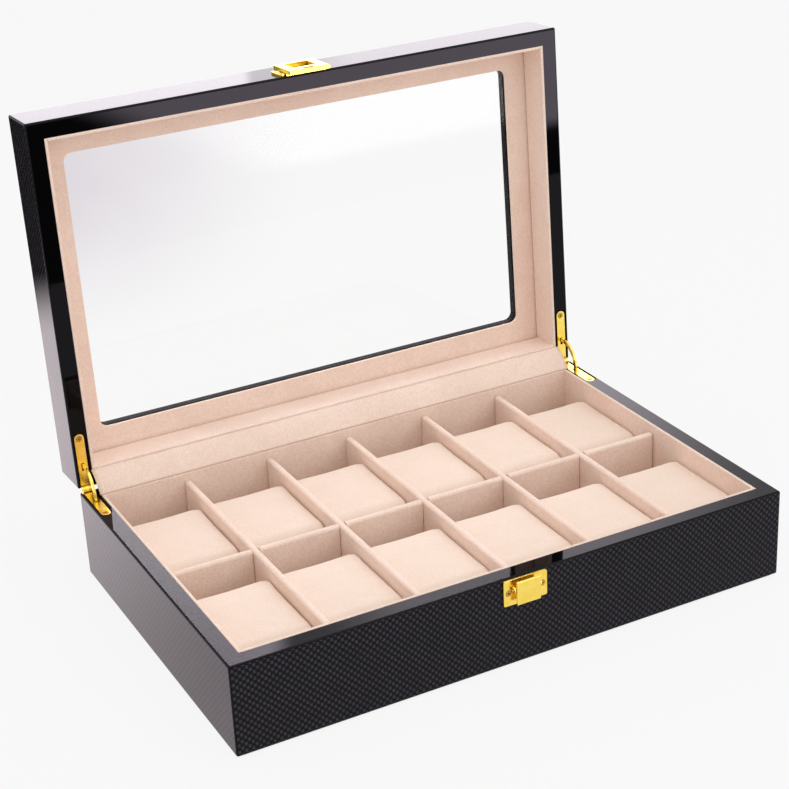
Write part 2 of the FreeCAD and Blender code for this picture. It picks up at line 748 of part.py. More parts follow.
plate_block = front_box(
    "catch_plate_block", "-plate_width / 2", "plate_width / 2", "0", "plate_thickness",
    PLATE_TOP + " - plate_height", PLATE_TOP)
plate_parts = [rounded(
    "catch_plate_sheet", plate_block, size.plate_corner, lambda edge: runs_along(edge, "y"))]
button_parts = []
for side, sign in SIDES.items():
    inner = "(button_width / 2 + ear_play)"
    outer = "(button_width / 2 + ear_play + ear_thickness)"
    low, high = (inner, outer) if sign > 0 else ("-" + outer, "-" + inner)
    plate_parts.append(front_box(
        "catch_ear_foot_" + side, low, high, "plate_thickness", ROCKER_PIN_STAND,
        ROCKER_PIN_Z + " - ear_radius", ROCKER_PIN_Z + " + ear_radius"))
    plate_parts.append(pin_rod("catch_ear_" + side, "ear_radius", low, high))
    inner = "(button_width / 2 - cheek_thickness)"
    outer = "(button_width / 2)"
    low, high = (inner, outer) if sign > 0 else ("-" + outer, "-" + inner)
    button_parts.append(front_box(
        "catch_cheek_web_" + side, low, high, ROCKER_PIN_STAND, BUTTON_STAND + " + button_thickness / 2",
        ROCKER_PIN_Z + " - cheek_radius", ROCKER_PIN_Z + " + cheek_radius"))
    button_parts.append(pin_rod("catch_cheek_" + side, "cheek_radius", low, high))
plate_cuts = [pin_rod("catch_plate_bore", "rocker_pin_radius + pin_play", "-plate_width", "plate_width")]
catch_screws = []
plate_face_y = value(FRONT_Y + " - plate_thickness")
for side, sign in SIDES.items():
    seat = Placement(
        Vector(sign * value(PLATE_SCREW_X), plate_face_y, value(PLATE_SCREW_Z)), FACING_FRONT)
    sink = countersink("catch_countersink_" + side, "0", "0")
    sink.Placement = seat
    plate_cuts.append(sink)
    catch_screws.append(screw("catch_screw_" + side, seat))
keep(cut("catch_plate", fuse("catch_plate_body", *plate_parts), *plate_cuts), "catch_plate")
keep(group("catch_screws", *catch_screws), "catch_screws")

BUTTON_TOP = "(base_height - button_drop)"
button_block = front_box(
    "catch_button_block", "-button_width / 2", "button_width / 2", BUTTON_STAND,
    BUTTON_STAND + " + button_thickness", BUTTON_TOP + " - button_height", BUTTON_TOP)
button_front_y = value("%s - %s - button_thickness" % (FRONT_Y, BUTTON_STAND))
button_parts.append(rounded(
    "catch_button_face", button_block, size.button_round,
    lambda edge: abs(edge.CenterOfMass.y - button_front_y) < TOLERANCE))
hook = doc.addObject("Part::Wedge", "catch_hook")
HOOK_TOP = "(base_height - hook_drop)"
HOOK_LOW = HOOK_TOP + " - hook_height"
bind(hook, Xmin="-hook_width / 2", Xmax="hook_width / 2", X2min="-hook_width / 2", X2max="hook_width / 2")
bind(hook, Ymin="-" + BUTTON_STAND, Ymax="-%s + hook_reach" % BUTTON_STAND)
bind(hook, Zmin=HOOK_LOW, Zmax=HOOK_TOP, Z2min=HOOK_LOW, Z2max=HOOK_LOW + " + hook_nose")
put(hook, ("0", FRONT_Y, "0"))
button_parts.append(hook)
button_bore = pin_rod("catch_button_bore", "rocker_pin_radius + pin_play", "-plate_width", "plate_width")
keep(cut("catch_button", fuse("catch_button_body", *button_parts), button_bore), "catch_button")

pin_tip = "(button_width / 2 + ear_play + ear_thickness + rocker_pin_head)"
pin_bar = barrel("catch_pin_bar", "rocker_pin_radius", "-" + pin_tip, pin_tip)
pin_round = size.rocker_pin_radius * PIN_TIP_SHARE
rocker_pin = Vector(0, value(ROCKER_PIN_Y), value(ROCKER_PIN_Z))
keep(rounded(
    "catch_pin", pin_bar, pin_round, lambda edge: isinstance(edge.Curve, Part.Circle)),
    "catch_pin", Placement(rocker_pin, Rotation()))


# Torsion spring: one wire, up behind the pin, round it and down behind the button

def arc_between(start, corner, end):
    """The arc that touches both legs of a corner whose legs are equally long."""
    leg = (corner - start).Length
    cosine = (end - start).Length / 2 / leg
    chord_middle = (start + end) * 0.5
    middle = chord_middle + (corner - chord_middle) * (cosine / (1 + cosine))
    return Part.Arc(start, middle, end).toShape()


def biarc(start, start_way, end, end_way):
    """Two arcs that leave one point and reach another along given directions."""
    span = end - start
    both = start_way + end_way
    square = 2 * start_way.dot(end_way) - 2
    linear = span.dot(both)
    reach = (linear - math.sqrt(linear * linear - square * span.dot(span))) / square
    first = start + start_way * reach
    second = end - end_way * reach
    joint = (first + second) * 0.5
    return [arc_between(start, first, joint), arc_between(joint, second, end)]


spring_radius = value(SPRING_RADIUS)


def coil_point(turn):
    """Point of the coil and its direction there, after a number of turns."""
    angle = 2 * math.pi * turn
    out = Vector(0, math.cos(angle), math.sin(angle))
    round_pin = Vector(0, -math.sin(angle), math.cos(angle))
    along = Vector(size.spring_start + size.spring_pitch * turn, 0, 0)
    way = Vector(size.spring_pitch, 0, 0) + round_pin * (2 * math.pi * spring_radius)
    return rocker_pin + along + out * spring_radius, way.normalize()


stops = [coil_point(quarter / QUARTERS) for quarter in range(SPRING_QUARTERS + 1)]
first_point, first_way = stops[0]
last_point, last_way = stops[-1]
foot = first_point - first_way * size.spring_leg
tip = last_point + last_way * size.spring_leg
wire_edges = [Part.LineSegment(foot, first_point).toShape()]
for (start, start_way), (end, end_way) in zip(stops, stops[1:]):
    wire_edges.extend(biarc(start, start_way, end, end_way))
wire_edges.append(Part.LineSegment(last_point, tip).toShape())
spring_path = Part.Wire(wire_edges)
spring_end = Part.Wire([Part.Circle(foot, first_way, size.spring_wire).toShape()])
spring = doc.addObject("Part::Feature", "catch_spring")
spring.Shape = spring_path.makePipeShell([spring_end], True, False)
keep(spring, "catch_spring")
samples = spring_path.discretize(Number=SPRING_SAMPLES)
step = spring_path.Length / (SPRING_SAMPLES - 1)
apart = int(math.pi * spring_radius / step)
least = min(
    (samples[i] - samples[j]).Length
    for i in range(len(samples)) for j in range(i + apart, len(samples)))
print("spring: least gap to itself %.2f mm" % (least - 2 * size.spring_wire))
wire_volume = math.pi * size.spring_wire ** 2 * spring_path.Length
print("spring: volume %.3f of section times length" % (spring.Shape.Volume / wire_volume))


# Hasp on the lid's front: a flanged plate whose tongue drops behind the button

def lid_front_box(name, x_low, x_high, near, far, z_low, z_high):
    """A block on the closed lid's front, from one distance off the face to another."""
    return box(
        name, (x_low, "%s - (%s)" % (LID_FRONT_Y, far), z_low),
        (x_high, "%s - (%s)" % (LID_FRONT_Y, near), z_high))


flange_side = "(hasp_width / 2 + flange_ear)"
flange_low = LID_RIM + " + flange_rise"
flange_block = lid_front_box(
    "hasp_flange_block", "-" + flange_side, flange_side, "0", "flange_thickness",
    flange_low, flange_low + " + flange_height")
flange = rounded("hasp_flange", flange_block, size.flange_corner, lambda edge: runs_along(edge, "y"))
tongue_low = "(-rim_gap / 2 - %s)" % TONGUE_DROP
hasp_block = lid_front_box(
    "hasp_block", "-hasp_width / 2", "hasp_width / 2", "0", "hasp_stand",
    tongue_low, LID_RIM + " + hasp_length")
hasp_front_y = value(LID_FRONT_Y + " - hasp_stand")
raised = rounded(
    "hasp_raised", hasp_block, size.hasp_round,
    lambda edge: abs(edge.CenterOfMass.y - hasp_front_y) < TOLERANCE)
under_tongue = lid_front_box(
    "hasp_under_tongue", "-hasp_width", "hasp_width", "-" + PAST, "plate_thickness + tongue_back_play",
    "%s - %s" % (tongue_low, PAST), LID_RIM + " + hasp_round")
hasp_window = lid_front_box(
    "hasp_window", "-hasp_window_width / 2", "hasp_window_width / 2", "flange_thickness",
    "hasp_stand + " + PAST, HASP_SCREW_Z + " - hasp_window_height / 2",
    HASP_SCREW_Z + " + hasp_window_height / 2")
hook_slot_side = "(hook_width / 2 + hook_slot_play)"
hook_slot = lid_front_box(
    "hasp_hook_slot", "-" + hook_slot_side, hook_slot_side, "0", "hasp_stand + " + PAST,
    tongue_low + " + tongue_bar", "-rim_gap / 2 - hook_drop + hook_slot_play")
hasp_cuts = [under_tongue, hasp_window, hook_slot]
hasp_screws = []
flange_face_y = LID_FRONT_Y + " - flange_thickness"
dome_foot = "(flange_ear / 2 - dome_margin)"
for where, sign in hasp_screw_places.items():
    screw_x = "%d * %s" % (sign, HASP_SCREW_X)
    hasp_cuts.append(front_hole(
        "hasp_flange_hole_" + where, screw_x, "%s - %s" % (flange_face_y, PAST), HASP_SCREW_Z,
        "(flange_thickness + 2 * %s)" % PAST))
    seat = Placement(Vector(value(screw_x), value(flange_face_y), value(HASP_SCREW_Z)), FACING_FRONT)
    dome = doc.addObject("Part::Sphere", "hasp_dome_" + where)
    bind(dome, Radius="%s / cos(dome_latitude * 1deg)" % dome_foot, Angle1="dome_latitude")
    put(dome, ("0", "0", "-%s * tan(dome_latitude * 1deg)" % dome_foot))
    shank = rod("hasp_shank_" + where, "screw_radius", "screw_length", ("0", "0", "-screw_length"))
    nail = fuse("hasp_screw_" + where, dome, shank)
    nail.Placement = LID_OPEN.multiply(seat)
    hasp_screws.append(nail)
keep(cut("hasp_plate", fuse("hasp_body", flange, raised), *hasp_cuts), "hasp_plate", LID_OPEN)
keep(group("hasp_screws", *hasp_screws), "hasp_screws")


# Velvet strip from the base's rear liner to the lid's, square to the middle of the opening

def flap_shape():
    """A thin bowed strip across the rear corner, between the two rims."""
    half_open = math.radians(size.open_angle / 2)
    end_radius = size.wall + size.axis_back - size.flap_play
    thickness = size.flap_thickness
    lift = math.asin(
        (thickness * math.sin(half_open) - size.rim_gap / 2 + size.flap_rim_play) / end_radius)
    away = end_radius * math.cos(half_open - lift)
    along = end_radius * math.sin(half_open - lift)
    middle = math.radians(180) - half_open
    outward = Vector(0, math.cos(middle), math.sin(middle))
    across = Vector(0, -math.sin(middle), math.cos(middle))
    axis = Vector(0, axis_y, axis_z)
    left = Vector(-value(FLAP_X), 0, 0)

    def point(u, v):
        return axis + left + outward * u + across * v
    face = Part.Face(Part.Wire([
        arc_through(point(away, -along), point(away + size.flap_bulge, 0), point(away, along)),
        Part.LineSegment(point(away, along), point(away - thickness, along)).toShape(),
        arc_through(
            point(away - thickness, along), point(away + size.flap_bulge - thickness, 0),
            point(away - thickness, -along)),
        Part.LineSegment(point(away - thickness, -along), point(away, -along)).toShape(),
    ]))
    return face.extrude(left * -2)


flap = doc.addObject("Part::Feature", "hinge_flap")
flap.Shape = flap_shape()
keep(flap, "hinge_flap")

# Every piece is sound before any file is written
doc.recompute()
for piece in doc.Objects:
    if "Invalid" in piece.State or "Error" in piece.State:
        raise RuntimeError("%s failed: %s" % (piece.Label, piece.State))
for piece in subparts:
    if piece.Shape.isNull() or not piece.Shape.isValid() or not piece.Shape.Solids:
        raise RuntimeError("%s has no sound shape" % piece.Label)
os.makedirs("parts", exist_ok=True)
for piece in subparts:
    piece.Shape.exportStep("parts/%s.step" % piece.Label)
print("%d sub-parts" % len(subparts))
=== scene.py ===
import json
import math

import bmesh
import bpy
import numpy as np
from mathutils import Matrix, Vector, noise


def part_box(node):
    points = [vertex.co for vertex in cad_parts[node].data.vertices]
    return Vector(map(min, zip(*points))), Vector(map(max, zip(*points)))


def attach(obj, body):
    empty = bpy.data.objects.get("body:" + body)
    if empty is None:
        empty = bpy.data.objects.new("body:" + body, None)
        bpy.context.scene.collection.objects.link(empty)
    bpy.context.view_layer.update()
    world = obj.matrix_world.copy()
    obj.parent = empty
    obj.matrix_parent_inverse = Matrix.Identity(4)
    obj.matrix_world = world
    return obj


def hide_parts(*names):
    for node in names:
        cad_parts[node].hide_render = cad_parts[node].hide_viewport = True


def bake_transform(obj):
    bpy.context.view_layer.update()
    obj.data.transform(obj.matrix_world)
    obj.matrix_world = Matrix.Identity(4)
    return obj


# Finishes, pillows, hinge strip, catch spring, stage, light and camera of the watch box.
# Metres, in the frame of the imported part: +X right, +Y back, +Z up, lid open at rest.

MM = 0.001
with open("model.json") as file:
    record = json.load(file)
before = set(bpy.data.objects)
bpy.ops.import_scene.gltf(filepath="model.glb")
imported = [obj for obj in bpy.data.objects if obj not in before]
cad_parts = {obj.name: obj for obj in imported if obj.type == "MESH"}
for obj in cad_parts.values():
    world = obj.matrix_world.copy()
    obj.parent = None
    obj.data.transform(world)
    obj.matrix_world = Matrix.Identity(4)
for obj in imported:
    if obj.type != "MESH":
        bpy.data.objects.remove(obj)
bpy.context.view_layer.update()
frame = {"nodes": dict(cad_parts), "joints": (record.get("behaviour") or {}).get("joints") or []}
nodes = frame["nodes"]
joints = {joint["name"]: joint for joint in frame["joints"]}

# Places read from the frame
LID_OPEN = math.radians(max(joints["lid_hinge"]["range_deg"]))
FRONT_LOW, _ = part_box("base_front_wall")
_, BACK_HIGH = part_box("base_back_wall")
LID_LOW, LID_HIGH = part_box("lid_top_frame")
WINDOW_LOW, WINDOW_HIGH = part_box("window_glass")
PILLOWS = [name for name in sorted(nodes) if name.startswith("pillow_")]


# Shader graphs

class Graph:
    """Short names for building a material's or the world's node tree."""

    def __init__(self, tree):
        self.tree = tree
        tree.nodes.clear()

    def add(self, kind, **inputs):
        """A node with its inputs set or linked; an underscore stands for a space."""
        node = self.tree.nodes.new(kind)
        for name, value in inputs.items():
            self.set(node.inputs[name.replace("_", " ")], value)
        return node

    def set(self, socket, value):
        if isinstance(value, bpy.types.NodeSocket):
            self.tree.links.new(value, socket)
        else:
            socket.default_value = value

    def math(self, operation, *values):
        node = self.tree.nodes.new("ShaderNodeMath")
        node.operation = operation
        for socket, value in zip(node.inputs, values):
            self.set(socket, value)
        return node.outputs[0]

    def times(self, first, second):
        return self.math("MULTIPLY", first, second)

    def plus(self, first, second):
        return self.math("ADD", first, second)

    def vector(self, operation, first, second):
        node = self.tree.nodes.new("ShaderNodeVectorMath")
        node.operation = operation
        self.set(node.inputs[0], first)
        self.set(node.inputs[1], second)
        return node.outputs["Vector"]

    def axes(self, vector):
        return self.add("ShaderNodeSeparateXYZ", Vector=vector).outputs

    def smooth(self, value, low, high, start=0.0, end=1.0):
        """A soft step from start to end, while a value goes from low to high."""
        node = self.tree.nodes.new("ShaderNodeMapRange")
        node.interpolation_type = "SMOOTHSTEP"
        for socket, number in zip(node.inputs, (value, low, high, start, end)):
            self.set(socket, number)
        return node.outputs["Result"]

    def noise(self, place, scale, detail=2.0, rough=0.5):
        node = self.add(
            "ShaderNodeTexNoise", Vector=place, Scale=scale, Detail=detail, Roughness=rough)
        return node.outputs["Fac"]

    def mix(self, share, first, second):
        """A mix of two colours."""
        node = self.tree.nodes.new("ShaderNodeMix")
        node.data_type = "RGBA"
        inputs = (("Factor_Float", share), ("A_Color", first), ("B_Color", second))
        for name, value in inputs:
            socket = next(s for s in node.inputs if s.identifier == name)
            self.set(socket, value)
        return next(s for s in node.outputs if s.identifier == "Result_Color")

    def bump(self, height, strength, distance):
        node = self.add("ShaderNodeBump", Height=height, Strength=strength, Distance=distance)
        return node.outputs["Normal"]

    def mix_shader(self, share, first, second):
        node = self.tree.nodes.new("ShaderNodeMixShader")
        for socket, value in zip(node.inputs, (share, first, second)):
            self.set(socket, value)
        return node.outputs[0]

    def light_path(self):
        return self.tree.nodes.new("ShaderNodeLightPath").outputs

    def seen(self):
        """1 where the camera sees the surface, directly, by gloss or through glass."""
        path = self.light_path()
        direct = self.math("MAXIMUM", path["Is Camera Ray"], path["Is Transmission Ray"])
        return self.math("MAXIMUM", direct, path["Is Glossy Ray"])

    def finish(self, kind, shader):
        node = self.tree.nodes.new(kind)
        self.tree.links.new(shader, node.inputs["Surface"])


def rgb(red, green, blue):
    """An opaque colour from values on the 0 to 255 screen scale."""
    def linear(value):
        share = value / 255
        return share / 12.92 if share <= 0.04045 else ((share + 0.055) / 1.055) ** 2.4
    return (linear(red), linear(green), linear(blue), 1.0)


def material(name):
    made = bpy.data.materials.new(name)
    made.use_nodes = True
    return made, Graph(made.node_tree)


def principled(graph, **inputs):
    return graph.add("ShaderNodeBsdfPrincipled", **inputs)


def surface(graph, shader):
    graph.finish("ShaderNodeOutputMaterial", shader)


def coordinates(graph):
    """Place and normal on the piece, in its own rest frame."""
    node = graph.tree.nodes.new("ShaderNodeTexCoord")
    return node.outputs["Object"], node.outputs["Normal"]


# Lacquer

LACQUER_BLACK = rgb(5, 5, 6)
LACQUER_SPECK = rgb(20, 19, 22)
LACQUER_TINT = (0.95, 0.88, 1.0, 1.0)
LACQUER_ROUGH = 0.03
LACQUER_IOR = 1.23
LACQUER_RIPPLE = 0.008
WINDOW_EDGE_ROUGH = 0.7

# Carbon-look print on the outer faces: its repeat and how much taller than round its dots are
PRINT_GREY = rgb(60, 58, 65)
PRINT_ACROSS = 3.8 * MM
PRINT_DOWN = 3.9 * MM
PRINT_TALL = 2.2
PRINT_EDGE = (-0.15, 0.85)
# Share of the normal that a face needs, to count as facing one way
FACING = (0.90, 0.98)
FACING_IN = (-0.2, -0.5)


def gloss_black(graph, place):
    ripple = graph.noise(place, scale=14.0, detail=1.0)
    return principled(
        graph, Roughness=LACQUER_ROUGH, IOR=LACQUER_IOR, Specular_Tint=LACQUER_TINT,
        Normal=graph.bump(ripple, LACQUER_RIPPLE, 1 * MM))


def plain_lacquer(name):
    """Black gloss lacquer with a few fine specks."""
    made, graph = material(name)
    place, _ = coordinates(graph)
    shader = gloss_black(graph, place)
    specks = graph.smooth(graph.noise(place, scale=900.0, detail=1.0), 0.70, 0.78)
    colour = graph.mix(specks, LACQUER_BLACK, LACQUER_SPECK)
    graph.set(shader.inputs["Base Color"], colour)
    surface(graph, shader.outputs[0])
    return made


def printed_lacquer(name, swing, centre, with_top):
    """Black gloss lacquer, with the print on the faces that look away from a centre."""
    made, graph = material(name)
    place, normal = coordinates(graph)
    shader = gloss_black(graph, place)

    def level_axes(vector):
        turn = graph.add("ShaderNodeVectorRotate", Vector=vector, Angle=swing)
        turn.rotation_type = "X_AXIS"
        return graph.axes(turn.outputs[0])

    def wave(along, repeat):
        return graph.math("COSINE", graph.times(along, 2 * math.pi / repeat))

    def dots(across, down):
        tall = graph.times(wave(down, PRINT_DOWN), PRINT_TALL)
        tall = graph.math("MAXIMUM", graph.math("MINIMUM", tall, 1.0), -1.0)
        return graph.smooth(graph.times(wave(across, PRINT_ACROSS), tall), *PRINT_EDGE)

    def away(part, along):
        return graph.times(part, graph.math("SIGN", along))

    x, y, z = level_axes(graph.vector("SUBTRACT", place, centre))
    normal_x, normal_y, normal_z = level_axes(normal)
    ends = graph.times(graph.smooth(away(normal_x, x), *FACING), dots(y, z))
    fronts = graph.times(graph.smooth(away(normal_y, y), *FACING), dots(x, z))
    pattern = graph.plus(ends, fronts)
    if with_top:
        tops = graph.times(graph.smooth(normal_z, *FACING), dots(x, y))
        pattern = graph.plus(pattern, tops)
        cut_x = graph.smooth(away(normal_x, x), *FACING_IN)
        cut_y = graph.smooth(away(normal_y, y), *FACING_IN)
        matt = graph.smooth(
            graph.math("MAXIMUM", cut_x, cut_y), 0.0, 1.0, LACQUER_ROUGH, WINDOW_EDGE_ROUGH)
        graph.set(shader.inputs["Roughness"], matt)
    weave = graph.smooth(graph.noise(place, scale=120.0), 0.3, 0.7, start=0.8, end=1.0)
    colour = graph.mix(graph.times(pattern, weave), LACQUER_BLACK, PRINT_GREY)
    graph.set(shader.inputs["Base Color"], colour)
    surface(graph, shader.outputs[0])
    return made


# Velvet and felt

LINING_PALE, LINING_DEEP, LINING_NAP = rgb(250, 229, 215), rgb(238, 213, 198), 0.42
PILLOW_PALE, PILLOW_DEEP, PILLOW_NAP = rgb(246, 228, 213), rgb(240, 219, 204), 0.20
VELVET_SHEEN = 0.25
VELVET_PILE = 0.35 * MM
CLOUD_SHARE, GRAIN_SHARE, STREAK_SHARE = 0.18, 0.82, 0.6
FELT_PALE, FELT_DEEP = rgb(52, 49, 50), rgb(26, 24, 25)


def velvet(name, pale, deep, nap):
    """Short-piled velvet: cloudy nap, fine grain and a soft sheen."""
    made, graph = material(name)
    place, _ = coordinates(graph)
    clouds = graph.smooth(graph.noise(place, scale=30.0, detail=3.0, rough=0.6), 0.25, 0.75)
    grain = graph.noise(place, scale=850.0, rough=0.6)
    drawn = graph.vector("MULTIPLY", place, (1.0, 1.0, 0.25))
    streaks = graph.noise(drawn, scale=700.0, rough=0.7)
    tone = graph.plus(graph.times(clouds, CLOUD_SHARE), graph.times(grain, GRAIN_SHARE))
    height = graph.plus(grain, graph.times(streaks, STREAK_SHARE))
    shader = principled(
        graph, Base_Color=graph.mix(graph.smooth(tone, 0.28, 0.72), deep, pale),
        Roughness=0.95, Specular_IOR_Level=0.15, Sheen_Weight=VELVET_SHEEN,
        Sheen_Roughness=0.45, Sheen_Tint=pale, Normal=graph.bump(height, nap, VELVET_PILE))
    surface(graph, shader.outputs[0])
    return made


def felt(name):
    """Dark felt under the base."""
    made, graph = material(name)
    place, _ = coordinates(graph)
    fibres = graph.noise(place, scale=900.0, detail=4.0, rough=0.7)
    shader = principled(
        graph, Base_Color=graph.mix(graph.smooth(fibres, 0.3, 0.7), FELT_DEEP, FELT_PALE),
        Roughness=0.97, Sheen_Weight=0.2, Normal=graph.bump(fibres, 0.6, 0.4 * MM))
    surface(graph, shader.outputs[0])
    return made


# Metals

GOLD_PALE, GOLD_DEEP, GOLD_ROUGH = rgb(255, 226, 112), rgb(252, 214, 92), 0.20
SCREW_PALE, SCREW_DEEP, SCREW_ROUGH = rgb(214, 168, 84), rgb(186, 136, 60), 0.28
STEEL_PALE, STEEL_DEEP = rgb(232, 233, 238), rgb(196, 198, 204)
BRUSHED = 0.08
# Painted shade: the deep brown that the brass turns to in its recesses, and how far and how
# finely recesses are sought
RECESS_SHADE_COLOUR = rgb(66, 41, 10)
RECESS_SHADE_REACH = 2.0 * MM
RECESS_SHADE_SAMPLES = 8


def brass(name, pale, deep, shine):
    """Bright gold-plated brass, lightly brushed, with painted shade darkening its recesses."""
    made, graph = material(name)
    place, _ = coordinates(graph)
    drawn = graph.vector("MULTIPLY", place, (0.12, 1.0, 1.0))
    strokes = graph.noise(drawn, scale=2600.0)
    cloud = graph.noise(place, scale=180.0)
    rough = graph.smooth(graph.plus(strokes, cloud), 0.7, 1.3, shine, shine + BRUSHED)
    plated = graph.mix(graph.smooth(cloud, 0.3, 0.7), deep, pale)
    # Painted shade: ambient occlusion darkens the plated colour towards deep brown in recesses
    hollows = graph.add("ShaderNodeAmbientOcclusion", Distance=RECESS_SHADE_REACH)
    hollows.samples = RECESS_SHADE_SAMPLES
    open_share = graph.smooth(hollows.outputs["AO"], 0.25, 0.80)
    shader = principled(
        graph, Base_Color=graph.mix(open_share, RECESS_SHADE_COLOUR, plated), Roughness=rough,
        Metallic=1.0, Normal=graph.bump(strokes, 0.012, 0.05 * MM))
    surface(graph, shader.outputs[0])
    return made


def spring_steel(name):
    """Drawn steel wire."""
    made, graph = material(name)
    place, _ = coordinates(graph)
    marks = graph.noise(place, scale=3000.0)
    shader = principled(
        graph, Base_Color=graph.mix(marks, STEEL_DEEP, STEEL_PALE),
        Roughness=graph.smooth(marks, 0.3, 0.7, start=0.15, end=0.35), Metallic=1.0)
    surface(graph, shader.outputs[0])
    return made


# Window

GLASS_IOR = 1.2
GLASS_CLEAR = (1, 1, 1, 1)
# Painted reflection: the grey-lilac that the pane's colour turns to towards its far left corner
REFLECTION_TINT = rgb(222, 214, 222)
# Share of the pane over which the painted reflection fades, from its left edge and from its far
# one
REFLECTION_ACROSS = 0.55
REFLECTION_UP = 0.75


def glass(name):
    """Clear pane with a faint painted grey-lilac reflection towards its far left corner."""
    made, graph = material(name)
    place, _ = coordinates(graph)
    x, _, z = graph.axes(place)
    size = WINDOW_HIGH - WINDOW_LOW
    across = graph.smooth(
        x, WINDOW_LOW.x, WINDOW_LOW.x + REFLECTION_ACROSS * size.x, start=1.0, end=0.0)
    up = graph.smooth(z, WINDOW_HIGH.z - REFLECTION_UP * size.z, WINDOW_HIGH.z)
    cloud = graph.smooth(graph.noise(place, scale=14.0), 0.2, 0.8, start=0.7, end=1.0)
    # Painted reflection: mask where the pane's colour turns grey-lilac
    painted_reflection = graph.times(graph.times(across, up), cloud)
    shader = principled(
        graph, Base_Color=graph.mix(painted_reflection, GLASS_CLEAR, REFLECTION_TINT), Roughness=0.0,
        IOR=GLASS_IOR, Transmission_Weight=1.0)
    clear = graph.add("ShaderNodeBsdfTransparent")
    in_shadow = graph.light_path()["Is Shadow Ray"]
    surface(graph, graph.mix_shader(in_shadow, shader.outputs[0], clear.outputs[0]))
    return made


# Finishes on the frame's nodes

SCREWS = ("catch_screws", "hinge_base_screws", "hinge_lid_screws")


def wear(piece, finish):
    """Gives a piece one finish all over."""
    piece.data.materials.clear()
    piece.data.materials.append(finish)


def dress_nodes(lining):
    """Puts a finish on every node of the frame."""
    base_centre = (FRONT_LOW + BACK_HIGH) / 2
    lid_centre = (LID_LOW + LID_HIGH) / 2
    base_lacquer = printed_lacquer("base_lacquer", 0.0, base_centre, False)
    lid_lacquer = printed_lacquer("lid_lacquer", LID_OPEN, lid_centre, False)
    gold = brass("gold_brass", GOLD_PALE, GOLD_DEEP, GOLD_ROUGH)
    bronze = brass("screw_brass", SCREW_PALE, SCREW_DEEP, SCREW_ROUGH)
    finishes = {
        "base_bottom_panel": plain_lacquer("bottom_lacquer"),
        "underside_felt": felt("underside_felt"),
        "lid_top_frame": printed_lacquer("lid_top_lacquer", LID_OPEN, lid_centre, True),
        "window_glass": glass("window_glass"),
    }
    for name, node in nodes.items():
        if name in finishes:
            finish = finishes[name]
        elif name in SCREWS:
            finish = bronze
        elif name.startswith(("hinge_", "catch_", "hasp_")):
            finish = gold
        elif name.endswith("_wall"):
            finish = base_lacquer if name.startswith("base_") else lid_lacquer
        else:
            finish = lining
        wear(node, finish)


# Meshes

def new_object(name, data):
    piece = bpy.data.objects.new(name, data)
    bpy.context.scene.collection.objects.link(piece)
    return piece


def shade_smooth(mesh):
    for face in mesh.polygons:
        face.use_smooth = True


def evaluated_mesh(piece):
    graph = bpy.context.evaluated_depsgraph_get()
    return bpy.data.meshes.new_from_object(piece.evaluated_get(graph))


def apply_modifiers(piece):
    mesh = evaluated_mesh(piece)
    piece.modifiers.clear()
    piece.data = mesh


# Watch pillows

PILLOW_VOXEL = 1.6 * MM
PILLOW_FULL = 0.2 * MM
PILLOW_CAP = 0.5 * MM
PILLOW_CORNER = 4.5 * MM
PILLOW_EDGE = 0.8 * MM
PILLOW_CROWN = 1.5 * MM
PILLOW_PRESSURE = 4.0
PILLOW_QUALITY = 5
PILLOW_STEPS = 20
# The front end, hidden behind the next wall, stops short of its space and rolls down
PILLOW_SHORT = 9.0 * MM
PILLOW_NOSE = 10.0 * MM
PILLOW_PULL = 1.5 * MM
# Loose pillows that lie nearer the front of their space
PILLOW_AHEAD = {"pillow_front_5": 3.3 * MM, "pillow_front_6": 4.8 * MM}
# Dents as scale and depth, and the step in the noise from one pillow to the next
DENTS = ((60.0, 0.22 * MM), (170.0, 0.07 * MM))
DENT_STEP = 0.05


def blank_pillow(size):
    """A block about the origin, a little too full, with round upright corners and crisp edges."""
    shell = bmesh.new()
    bmesh.ops.create_cube(shell, size=1.0)
    for vertex in shell.verts:
        for axis in range(3):
            vertex.co[axis] *= size[axis] + 2 * PILLOW_FULL

    def rise(edge):
        return abs((edge.verts[0].co - edge.verts[1].co).z)

    upright = [edge for edge in shell.edges if rise(edge) > size.z / 2]
    bmesh.ops.bevel(
        shell, geom=upright, offset=PILLOW_CORNER, segments=5, profile=0.5, affect="EDGES")
    rims = [edge for edge in shell.edges if rise(edge) < PILLOW_EDGE]
    bmesh.ops.bevel(
        shell, geom=rims, offset=PILLOW_EDGE, segments=2, profile=0.5, affect="EDGES")
    mesh = bpy.data.meshes.new("pillow_blank")
    shell.to_mesh(mesh)
    shell.free()
    return new_object("pillow_blank", mesh)


def fill_by_cloth(piece):
    """Blows a closed mesh up by cloth simulation, and applies the result."""
    fill = piece.modifiers.new("fill", "CLOTH")
    fill.settings.use_pressure = True
    fill.settings.uniform_pressure_force = PILLOW_PRESSURE
    fill.settings.quality = PILLOW_QUALITY
    fill.settings.effector_weights.gravity = 0.0
    fill.point_cache.frame_start = 1
    fill.point_cache.frame_end = PILLOW_STEPS
    for step in range(1, PILLOW_STEPS + 1):
        bpy.context.scene.frame_set(step)
    apply_modifiers(piece)
    bpy.context.scene.frame_set(1)


